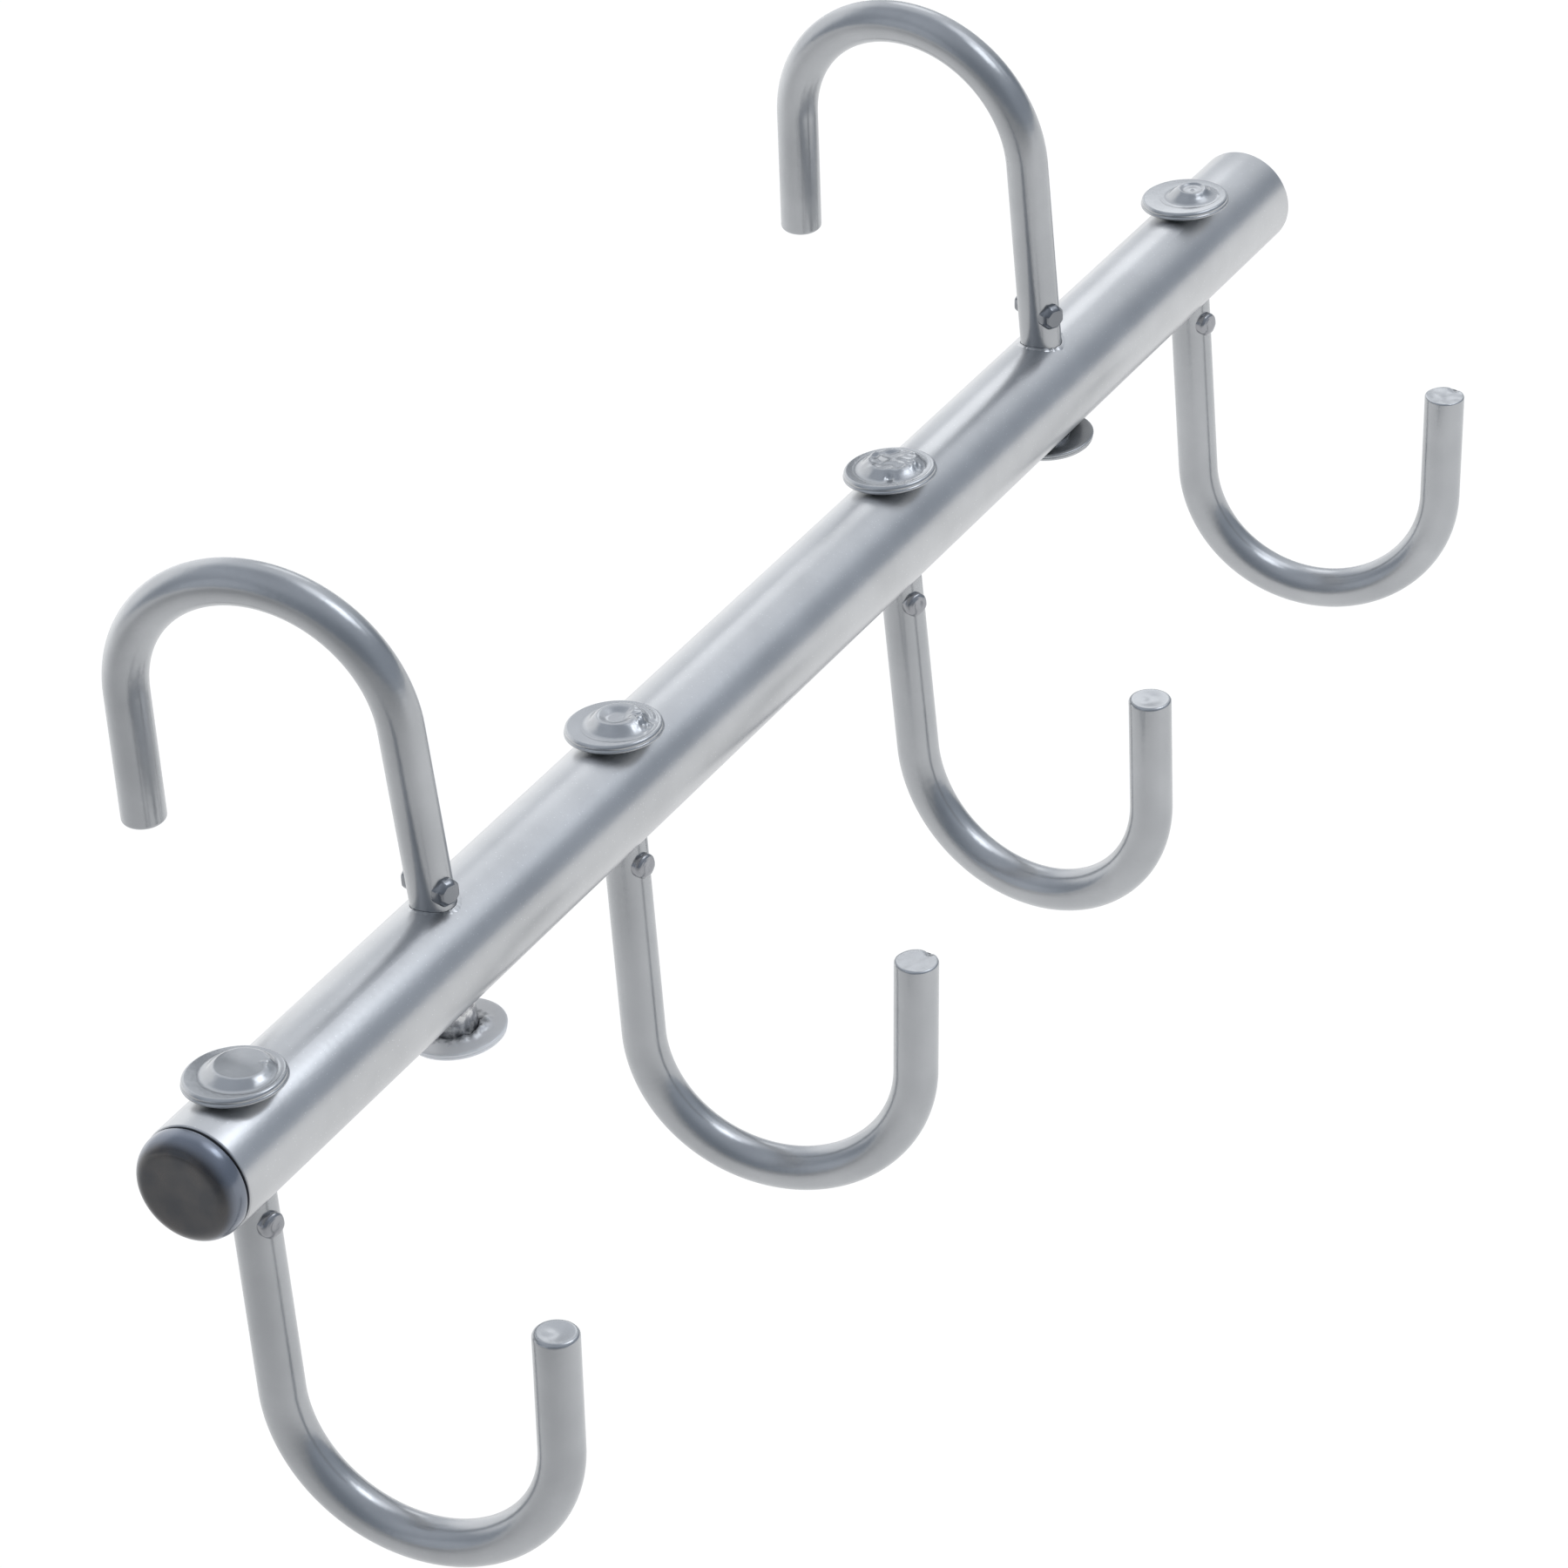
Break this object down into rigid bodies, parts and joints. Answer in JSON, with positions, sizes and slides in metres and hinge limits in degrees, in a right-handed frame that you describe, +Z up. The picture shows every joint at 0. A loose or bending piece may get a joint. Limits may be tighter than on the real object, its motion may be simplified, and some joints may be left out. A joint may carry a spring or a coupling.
{
  "type": "portable tack rack",
  "caption": "Steel tube rack with swivelling J-hooks: the lower ones hold bridles and halters, the upper ones go over a rail or stall door.",
  "frame": {"origin": "where a rail bears in the bends of the upper hooks, midway between them, when both hooks are drawn up against the tube", "axes": "+Z up; +X along the tube, from the capped end to the open end; the upper hooks reach towards +Y and the lower ones towards -Y"},
  "size_m": [0.4943, 0.1423, 0.1992],
  "materials": {
    "tube_paint": "satin silver-grey metallic paint",
    "cap_plastic": "moulded, slightly satin, near black",
    "hook_paint": "satin grey metallic paint over bent rod",
    "washer_paint": "satin silver-grey metallic paint over a pressed washer",
    "rivet_steel": "hammered, glossy grey metallic paint"
  },
  "bodies": {
    "rack": {"tube": "tube_paint", "end_cap": "cap_plastic"},
    "lower_collar_1": {"lower_washer_1": "washer_paint"},
    "lower_swivel_1": {"lower_hook_1": "hook_paint", "lower_stop_rivet_1": "rivet_steel"},
    "lower_collar_2": {"lower_washer_2": "washer_paint"},
    "lower_swivel_2": {"lower_hook_2": "hook_paint", "lower_stop_rivet_2": "rivet_steel"},
    "lower_collar_3": {"lower_washer_3": "washer_paint"},
    "lower_swivel_3": {"lower_hook_3": "hook_paint", "lower_stop_rivet_3": "rivet_steel"},
    "lower_collar_4": {"lower_washer_4": "washer_paint"},
    "lower_swivel_4": {"lower_hook_4": "hook_paint", "lower_stop_rivet_4": "rivet_steel"},
    "upper_collar_1": {"upper_washer_1": "washer_paint"},
    "upper_swivel_1": {"upper_hook_1": "hook_paint", "upper_stop_rivet_1": "rivet_steel"},
    "upper_collar_2": {"upper_washer_2": "washer_paint"},
    "upper_swivel_2": {"upper_hook_2": "hook_paint", "upper_stop_rivet_2": "rivet_steel"}
  },
  "joints": [
    {"name": "lower_hook_1_slide", "type": "slide", "parent": "rack", "child": "lower_collar_1", "axis": [0.0175, 0.0087, 0.9998], "range_m": [0, 0.0027]},
    {"name": "lower_hook_1_swivel", "type": "hinge", "parent": "lower_collar_1", "child": "lower_swivel_1", "pos_m": [-0.217, -0.032, -0.088], "axis": [0.0175, 0.0087, 0.9998], "continuous": true},
    {"name": "lower_hook_2_slide", "type": "slide", "parent": "rack", "child": "lower_collar_2", "axis": [0.0175, -0.0087, 0.9998], "range_m": [0, 0.0027]},
    {"name": "lower_hook_2_swivel", "type": "hinge", "parent": "lower_collar_2", "child": "lower_swivel_2", "pos_m": [-0.066, -0.032, -0.088], "axis": [0.0175, -0.0087, 0.9998], "continuous": true},
    {"name": "lower_hook_3_slide", "type": "slide", "parent": "rack", "child": "lower_collar_3", "axis": [0.0087, 0.0175, 0.9998], "range_m": [0, 0.0028]},
    {"name": "lower_hook_3_swivel", "type": "hinge", "parent": "lower_collar_3", "child": "lower_swivel_3", "pos_m": [0.063, -0.032, -0.088], "axis": [0.0087, 0.0175, 0.9998], "continuous": true},
    {"name": "lower_hook_4_slide", "type": "slide", "parent": "rack", "child": "lower_collar_4", "axis": [0.0087, -0.0087, 0.9999], "range_m": [0, 0.0029]},
    {"name": "lower_hook_4_swivel", "type": "hinge", "parent": "lower_collar_4", "child": "lower_swivel_4", "pos_m": [0.2205, -0.032, -0.088], "axis": [0.0087, -0.0087, 0.9999], "continuous": true},
    {"name": "upper_hook_1_slide", "type": "slide", "parent": "rack", "child": "upper_collar_1", "axis": [-0.0436, 0.0175, 0.9989], "range_m": [0, 0.0056]},
    {"name": "upper_hook_1_swivel", "type": "hinge", "parent": "upper_collar_1", "child": "upper_swivel_1", "pos_m": [-0.1405, -0.032, -0.088], "axis": [-0.0436, 0.0175, 0.9989], "continuous": true},
    {"name": "upper_hook_2_slide", "type": "slide", "parent": "rack", "child": "upper_collar_2", "axis": [-0.0523, -0.0262, 0.9983], "range_m": [-0.0043, 0]},
    {"name": "upper_hook_2_swivel", "type": "hinge", "parent": "upper_collar_2", "child": "upper_swivel_2", "pos_m": [0.1405, -0.032, -0.088], "axis": [-0.0523, -0.0262, 0.9983], "continuous": true}
  ]
}
